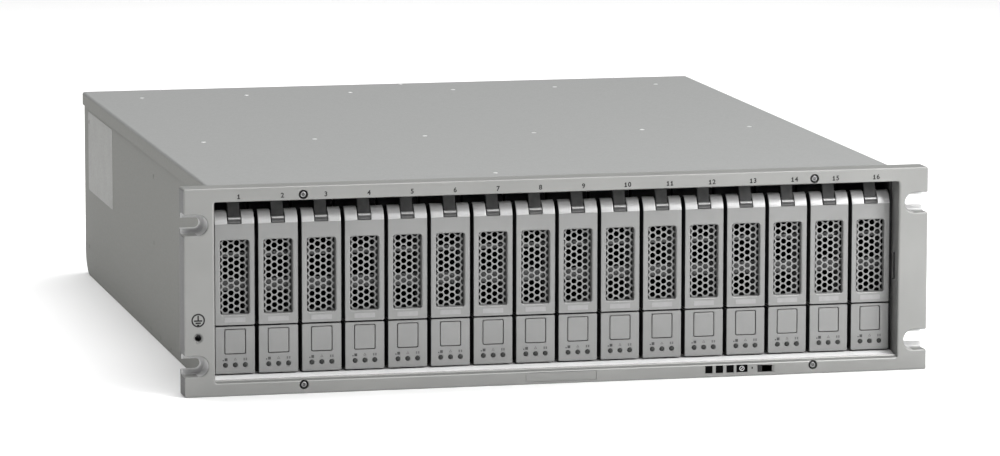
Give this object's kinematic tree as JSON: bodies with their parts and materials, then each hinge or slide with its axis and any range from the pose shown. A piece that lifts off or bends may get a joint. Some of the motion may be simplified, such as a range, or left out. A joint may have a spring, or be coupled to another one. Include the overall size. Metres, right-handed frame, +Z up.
{
  "type": "storage array",
  "caption": "Rack-mounted disk storage array: silver front frame with slotted ears, a row of upright drives with honeycomb latch levers, and rear power, fan and controller modules.",
  "frame": {"origin": "middle of the underside of the bounding box", "axes": "+Z up, -Y toward the drive fronts, +X to the right seen from the front"},
  "size_m": [0.4826, 0.55, 0.131],
  "materials": {
    "frame_paint": "satin silver paint",
    "chassis_paint": "fine textured grey paint",
    "drive_front": "satin silver plastic",
    "drive_tray": "cast and machined",
    "dark_steel": "blackened",
    "board_laminate": "solder mask",
    "module_metal": "plated sheet",
    "black_plastic": "matte"
  },
  "bodies": {
    "chassis": {"front_frame": "frame_paint", "frame_screws": "dark_steel", "chassis_pan": "chassis_paint", "top_cover": "chassis_paint", "midplane_board": "board_laminate"},
    "drive_01": {"drive_carrier_01": "drive_tray"},
    "lever_01": {"latch_lever_01": "drive_front"},
    "button_01": {"release_button_01": "drive_front"},
    "drive_02": {"drive_carrier_02": "drive_tray"},
    "lever_02": {"latch_lever_02": "drive_front"},
    "button_02": {"release_button_02": "drive_front"},
    "drive_03": {"drive_carrier_03": "drive_tray"},
    "lever_03": {"latch_lever_03": "drive_front"},
    "button_03": {"release_button_03": "drive_front"},
    "drive_04": {"drive_carrier_04": "drive_tray"},
    "lever_04": {"latch_lever_04": "drive_front"},
    "button_04": {"release_button_04": "drive_front"},
    "drive_05": {"drive_carrier_05": "drive_tray"},
    "lever_05": {"latch_lever_05": "drive_front"},
    "button_05": {"release_button_05": "drive_front"},
    "drive_06": {"drive_carrier_06": "drive_tray"},
    "lever_06": {"latch_lever_06": "drive_front"},
    "button_06": {"release_button_06": "drive_front"},
    "drive_07": {"drive_carrier_07": "drive_tray"},
    "lever_07": {"latch_lever_07": "drive_front"},
    "button_07": {"release_button_07": "drive_front"},
    "drive_08": {"drive_carrier_08": "drive_tray"},
    "lever_08": {"latch_lever_08": "drive_front"},
    "button_08": {"release_button_08": "drive_front"},
    "drive_09": {"drive_carrier_09": "drive_tray"},
    "lever_09": {"latch_lever_09": "drive_front"},
    "button_09": {"release_button_09": "drive_front"},
    "drive_10": {"drive_carrier_10": "drive_tray"},
    "lever_10": {"latch_lever_10": "drive_front"},
    "button_10": {"release_button_10": "drive_front"},
    "drive_11": {"drive_carrier_11": "drive_tray"},
    "lever_11": {"latch_lever_11": "drive_front"},
    "button_11": {"release_button_11": "drive_front"},
    "drive_12": {"drive_carrier_12": "drive_tray"},
    "lever_12": {"latch_lever_12": "drive_front"},
    "button_12": {"release_button_12": "drive_front"},
    "drive_13": {"drive_carrier_13": "drive_tray"},
    "lever_13": {"latch_lever_13": "drive_front"},
    "button_13": {"release_button_13": "drive_front"},
    "drive_14": {"drive_carrier_14": "drive_tray"},
    "lever_14": {"latch_lever_14": "drive_front"},
    "button_14": {"release_button_14": "drive_front"},
    "drive_15": {"drive_carrier_15": "drive_tray"},
    "lever_15": {"latch_lever_15": "drive_front"},
    "button_15": {"release_button_15": "drive_front"},
    "drive_16": {"drive_carrier_16": "drive_tray"},
    "lever_16": {"latch_lever_16": "drive_front"},
    "button_16": {"release_button_16": "drive_front"},
    "switch": {"rate_switch": "black_plastic"},
    "power_left": {"power_fan_left": "module_metal"},
    "fan_left": {"fan_rotor_left": "black_plastic"},
    "power_right": {"power_fan_right": "module_metal"},
    "fan_right": {"fan_rotor_right": "black_plastic"},
    "io_lower": {"io_module_lower": "module_metal"},
    "io_upper": {"io_module_upper": "module_metal"}
  },
  "joints": [
    {"name": "drive_01_slide", "type": "slide", "parent": "chassis", "child": "drive_01", "axis": [0, -1, 0], "range_m": [0, 0.21]},
    {"name": "lever_01_hinge", "type": "hinge", "parent": "drive_01", "child": "lever_01", "pos_m": [-0.207, -0.248, 0.107], "axis": [-1, 0, 0], "range_deg": [0, 65]},
    {"name": "button_01_press", "type": "slide", "parent": "drive_01", "child": "button_01", "axis": [0, 1, 0], "range_m": [0, 0.002], "stiffness_N_per_m": 400},
    {"name": "drive_02_slide", "type": "slide", "parent": "chassis", "child": "drive_02", "axis": [0, -1, 0], "range_m": [0, 0.21]},
    {"name": "lever_02_hinge", "type": "hinge", "parent": "drive_02", "child": "lever_02", "pos_m": [-0.1794, -0.248, 0.107], "axis": [-1, 0, 0], "range_deg": [0, 65]},
    {"name": "button_02_press", "type": "slide", "parent": "drive_02", "child": "button_02", "axis": [0, 1, 0], "range_m": [0, 0.002], "stiffness_N_per_m": 400},
    {"name": "drive_03_slide", "type": "slide", "parent": "chassis", "child": "drive_03", "axis": [0, -1, 0], "range_m": [0, 0.21]},
    {"name": "lever_03_hinge", "type": "hinge", "parent": "drive_03", "child": "lever_03", "pos_m": [-0.1518, -0.248, 0.107], "axis": [-1, 0, 0], "range_deg": [0, 65]},
    {"name": "button_03_press", "type": "slide", "parent": "drive_03", "child": "button_03", "axis": [0, 1, 0], "range_m": [0, 0.002], "stiffness_N_per_m": 400},
    {"name": "drive_04_slide", "type": "slide", "parent": "chassis", "child": "drive_04", "axis": [0, -1, 0], "range_m": [0, 0.21]},
    {"name": "lever_04_hinge", "type": "hinge", "parent": "drive_04", "child": "lever_04", "pos_m": [-0.1242, -0.248, 0.107], "axis": [-1, 0, 0], "range_deg": [0, 65]},
    {"name": "button_04_press", "type": "slide", "parent": "drive_04", "child": "button_04", "axis": [0, 1, 0], "range_m": [0, 0.002], "stiffness_N_per_m": 400},
    {"name": "drive_05_slide", "type": "slide", "parent": "chassis", "child": "drive_05", "axis": [0, -1, 0], "range_m": [0, 0.21]},
    {"name": "lever_05_hinge", "type": "hinge", "parent": "drive_05", "child": "lever_05", "pos_m": [-0.0966, -0.248, 0.107], "axis": [-1, 0, 0], "range_deg": [0, 65]},
    {"name": "button_05_press", "type": "slide", "parent": "drive_05", "child": "button_05", "axis": [0, 1, 0], "range_m": [0, 0.002], "stiffness_N_per_m": 400},
    {"name": "drive_06_slide", "type": "slide", "parent": "chassis", "child": "drive_06", "axis": [0, -1, 0], "range_m": [0, 0.21]},
    {"name": "lever_06_hinge", "type": "hinge", "parent": "drive_06", "child": "lever_06", "pos_m": [-0.069, -0.248, 0.107], "axis": [-1, 0, 0], "range_deg": [0, 65]},
    {"name": "button_06_press", "type": "slide", "parent": "drive_06", "child": "button_06", "axis": [0, 1, 0], "range_m": [0, 0.002], "stiffness_N_per_m": 400},
    {"name": "drive_07_slide", "type": "slide", "parent": "chassis", "child": "drive_07", "axis": [0, -1, 0], "range_m": [0, 0.21]},
    {"name": "lever_07_hinge", "type": "hinge", "parent": "drive_07", "child": "lever_07", "pos_m": [-0.0414, -0.248, 0.107], "axis": [-1, 0, 0], "range_deg": [0, 65]},
    {"name": "button_07_press", "type": "slide", "parent": "drive_07", "child": "button_07", "axis": [0, 1, 0], "range_m": [0, 0.002], "stiffness_N_per_m": 400},
    {"name": "drive_08_slide", "type": "slide", "parent": "chassis", "child": "drive_08", "axis": [0, -1, 0], "range_m": [0, 0.21]},
    {"name": "lever_08_hinge", "type": "hinge", "parent": "drive_08", "child": "lever_08", "pos_m": [-0.0138, -0.248, 0.107], "axis": [-1, 0, 0], "range_deg": [0, 65]},
    {"name": "button_08_press", "type": "slide", "parent": "drive_08", "child": "button_08", "axis": [0, 1, 0], "range_m": [0, 0.002], "stiffness_N_per_m": 400},
    {"name": "drive_09_slide", "type": "slide", "parent": "chassis", "child": "drive_09", "axis": [0, -1, 0], "range_m": [0, 0.21]},
    {"name": "lever_09_hinge", "type": "hinge", "parent": "drive_09", "child": "lever_09", "pos_m": [0.0138, -0.248, 0.107], "axis": [-1, 0, 0], "range_deg": [0, 65]},
    {"name": "button_09_press", "type": "slide", "parent": "drive_09", "child": "button_09", "axis": [0, 1, 0], "range_m": [0, 0.002], "stiffness_N_per_m": 400},
    {"name": "drive_10_slide", "type": "slide", "parent": "chassis", "child": "drive_10", "axis": [0, -1, 0], "range_m": [0, 0.21]},
    {"name": "lever_10_hinge", "type": "hinge", "parent": "drive_10", "child": "lever_10", "pos_m": [0.0414, -0.248, 0.107], "axis": [-1, 0, 0], "range_deg": [0, 65]},
    {"name": "button_10_press", "type": "slide", "parent": "drive_10", "child": "button_10", "axis": [0, 1, 0], "range_m": [0, 0.002], "stiffness_N_per_m": 400},
    {"name": "drive_11_slide", "type": "slide", "parent": "chassis", "child": "drive_11", "axis": [0, -1, 0], "range_m": [0, 0.21]},
    {"name": "lever_11_hinge", "type": "hinge", "parent": "drive_11", "child": "lever_11", "pos_m": [0.069, -0.248, 0.107], "axis": [-1, 0, 0], "range_deg": [0, 65]},
    {"name": "button_11_press", "type": "slide", "parent": "drive_11", "child": "button_11", "axis": [0, 1, 0], "range_m": [0, 0.002], "stiffness_N_per_m": 400},
    {"name": "drive_12_slide", "type": "slide", "parent": "chassis", "child": "drive_12", "axis": [0, -1, 0], "range_m": [0, 0.21]},
    {"name": "lever_12_hinge", "type": "hinge", "parent": "drive_12", "child": "lever_12", "pos_m": [0.0966, -0.248, 0.107], "axis": [-1, 0, 0], "range_deg": [0, 65]},
    {"name": "button_12_press", "type": "slide", "parent": "drive_12", "child": "button_12", "axis": [0, 1, 0], "range_m": [0, 0.002], "stiffness_N_per_m": 400},
    {"name": "drive_13_slide", "type": "slide", "parent": "chassis", "child": "drive_13", "axis": [0, -1, 0], "range_m": [0, 0.21]},
    {"name": "lever_13_hinge", "type": "hinge", "parent": "drive_13", "child": "lever_13", "pos_m": [0.1242, -0.248, 0.107], "axis": [-1, 0, 0], "range_deg": [0, 65]},
    {"name": "button_13_press", "type": "slide", "parent": "drive_13", "child": "button_13", "axis": [0, 1, 0], "range_m": [0, 0.002], "stiffness_N_per_m": 400},
    {"name": "drive_14_slide", "type": "slide", "parent": "chassis", "child": "drive_14", "axis": [0, -1, 0], "range_m": [0, 0.21]},
    {"name": "lever_14_hinge", "type": "hinge", "parent": "drive_14", "child": "lever_14", "pos_m": [0.1518, -0.248, 0.107], "axis": [-1, 0, 0], "range_deg": [0, 65]},
    {"name": "button_14_press", "type": "slide", "parent": "drive_14", "child": "button_14", "axis": [0, 1, 0], "range_m": [0, 0.002], "stiffness_N_per_m": 400},
    {"name": "drive_15_slide", "type": "slide", "parent": "chassis", "child": "drive_15", "axis": [0, -1, 0], "range_m": [0, 0.21]},
    {"name": "lever_15_hinge", "type": "hinge", "parent": "drive_15", "child": "lever_15", "pos_m": [0.1794, -0.248, 0.107], "axis": [-1, 0, 0], "range_deg": [0, 65]},
    {"name": "button_15_press", "type": "slide", "parent": "drive_15", "child": "button_15", "axis": [0, 1, 0], "range_m": [0, 0.002], "stiffness_N_per_m": 400},
    {"name": "drive_16_slide", "type": "slide", "parent": "chassis", "child": "drive_16", "axis": [0, -1, 0], "range_m": [0, 0.21]},
    {"name": "lever_16_hinge", "type": "hinge", "parent": "drive_16", "child": "lever_16", "pos_m": [0.207, -0.248, 0.107], "axis": [-1, 0, 0], "range_deg": [0, 65]},
    {"name": "button_16_press", "type": "slide", "parent": "drive_16", "child": "button_16", "axis": [0, 1, 0], "range_m": [0, 0.002], "stiffness_N_per_m": 400},
    {"name": "switch_slide", "type": "slide", "parent": "chassis", "child": "switch", "axis": [1, 0, 0], "range_m": [0, 0.0065]},
    {"name": "power_left_slide", "type": "slide", "parent": "chassis", "child": "power_left", "axis": [0, 1, 0], "range_m": [0, 0.26]},
    {"name": "fan_left_spin", "type": "hinge", "parent": "power_left", "child": "fan_left", "pos_m": [-0.167, 0.235, 0.0842], "axis": [0, 1, 0], "continuous": true},
    {"name": "power_right_slide", "type": "slide", "parent": "chassis", "child": "power_right", "axis": [0, 1, 0], "range_m": [0, 0.26]},
    {"name": "fan_right_spin", "type": "hinge", "parent": "power_right", "child": "fan_right", "pos_m": [0.167, 0.235, 0.0842], "axis": [0, 1, 0], "continuous": true},
    {"name": "io_lower_slide", "type": "slide", "parent": "chassis", "child": "io_lower", "axis": [0, 1, 0], "range_m": [0, 0.26]},
    {"name": "io_upper_slide", "type": "slide", "parent": "chassis", "child": "io_upper", "axis": [0, 1, 0], "range_m": [0, 0.26]}
  ]
}
